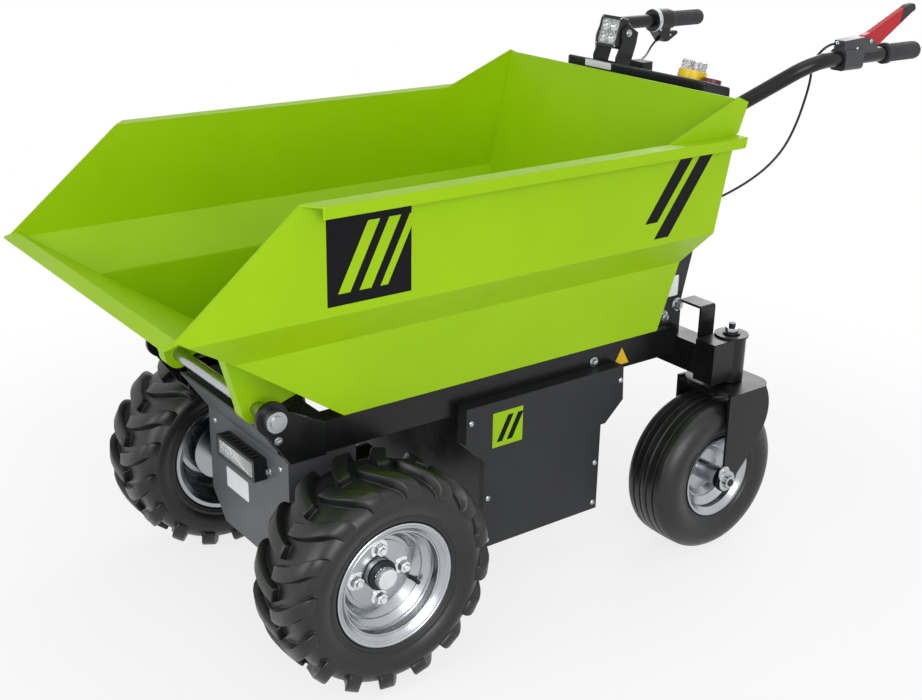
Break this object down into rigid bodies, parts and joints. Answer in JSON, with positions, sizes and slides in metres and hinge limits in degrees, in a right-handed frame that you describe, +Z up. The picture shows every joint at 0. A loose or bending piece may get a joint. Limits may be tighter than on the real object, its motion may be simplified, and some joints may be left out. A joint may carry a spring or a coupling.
{
  "type": "site dumper",
  "caption": "Walk-behind battery dumper with a tipping sheet tub, lugged drive wheels, swivel castors and a handlebar console",
  "frame": {"origin": "on the floor, under the middle of the machine's outline", "axes": "+X forward, the way the tub tips; +Y to the machine's left; +Z up"},
  "size_m": [1.732, 0.785, 1.0958],
  "materials": {
    "green_enamel": "gloss powder coat",
    "tread_rubber": "matt",
    "zinc_steel": "bright zinc plate",
    "black_enamel": "gloss powder coat",
    "dark_cover_paint": "satin",
    "black_rubber": "matt",
    "moulded_black": "moulded",
    "red_plastic": "gloss",
    "yellow_plastic": "gloss",
    "clear_plastic": "clear",
    "knob_red": "gloss"
  },
  "bodies": {
    "chassis": {"battery": "moulded_black", "battery_box": "black_enamel", "battery_cover_left": "dark_cover_paint", "battery_cover_right": "dark_cover_paint", "brake_cable": "black_rubber", "brake_clamp": "moulded_black", "brake_lever": "red_plastic", "castor_housing_left": "black_enamel", "castor_housing_right": "black_enamel", "column": "dark_cover_paint", "console": "moulded_black", "crossbar_front": "black_enamel", "crossbar_rear": "black_enamel", "drive_axle": "black_enamel", "frame_rail_left": "black_enamel", "frame_rail_right": "black_enamel", "front_housing": "dark_cover_paint", "grip_left": "black_rubber", "grip_right": "black_rubber", "guard_base": "yellow_plastic", "guard_cap": "clear_plastic", "handlebar_left": "black_enamel", "handlebar_right": "black_enamel", "headlamp": "moulded_black", "headlamp_bracket": "moulded_black", "light_bar": "moulded_black", "pivot_plate_left": "black_enamel", "pivot_plate_right": "black_enamel", "pivot_shaft": "zinc_steel", "rear_beam": "black_enamel", "rear_bracket_left": "black_enamel", "rear_bracket_right": "black_enamel", "stop_knob": "knob_red", "throttle": "moulded_black", "throttle_cable": "black_rubber", "tub_rest_left": "black_rubber", "tub_rest_right": "black_rubber"},
    "drive_wheel_left": {"drive_tyre_left": "tread_rubber", "drive_rim_left": "zinc_steel"},
    "castor_left": {"castor_fork_left": "black_enamel"},
    "castor_wheel_left": {"castor_tyre_left": "tread_rubber", "castor_rim_left": "zinc_steel"},
    "drive_wheel_right": {"drive_tyre_right": "tread_rubber", "drive_rim_right": "zinc_steel"},
    "castor_right": {"castor_fork_right": "black_enamel"},
    "castor_wheel_right": {"castor_tyre_right": "tread_rubber", "castor_rim_right": "zinc_steel"},
    "tub": {"tub_back": "green_enamel", "tub_floor": "green_enamel", "tub_hinge_left": "green_enamel", "tub_hinge_right": "green_enamel", "tub_side_left": "green_enamel", "tub_side_right": "green_enamel"}
  },
  "joints": [
    {"name": "tub_tip", "type": "hinge", "parent": "chassis", "child": "tub", "pos_m": [0.6315, 0, 0.495], "axis": [0, 1, 0], "range_deg": [0, 60]},
    {"name": "drive_left_spin", "type": "hinge", "parent": "chassis", "child": "drive_wheel_left", "pos_m": [0.4915, 0.3085, 0.207], "axis": [0, 1, 0], "continuous": true},
    {"name": "castor_left_swivel", "type": "hinge", "parent": "chassis", "child": "castor_left", "pos_m": [-0.3965, 0.294, 0.4], "axis": [0, 0, 1], "continuous": true},
    {"name": "castor_wheel_left_spin", "type": "hinge", "parent": "castor_left", "child": "castor_wheel_left", "pos_m": [-0.3365, 0.294, 0.165], "axis": [0, 1, 0], "continuous": true},
    {"name": "drive_right_spin", "type": "hinge", "parent": "chassis", "child": "drive_wheel_right", "pos_m": [0.4915, -0.3085, 0.207], "axis": [0, 1, 0], "continuous": true},
    {"name": "castor_right_swivel", "type": "hinge", "parent": "chassis", "child": "castor_right", "pos_m": [-0.3965, -0.294, 0.4], "axis": [0, 0, 1], "continuous": true},
    {"name": "castor_wheel_right_spin", "type": "hinge", "parent": "castor_right", "child": "castor_wheel_right", "pos_m": [-0.3365, -0.294, 0.165], "axis": [0, 1, 0], "continuous": true}
  ]
}
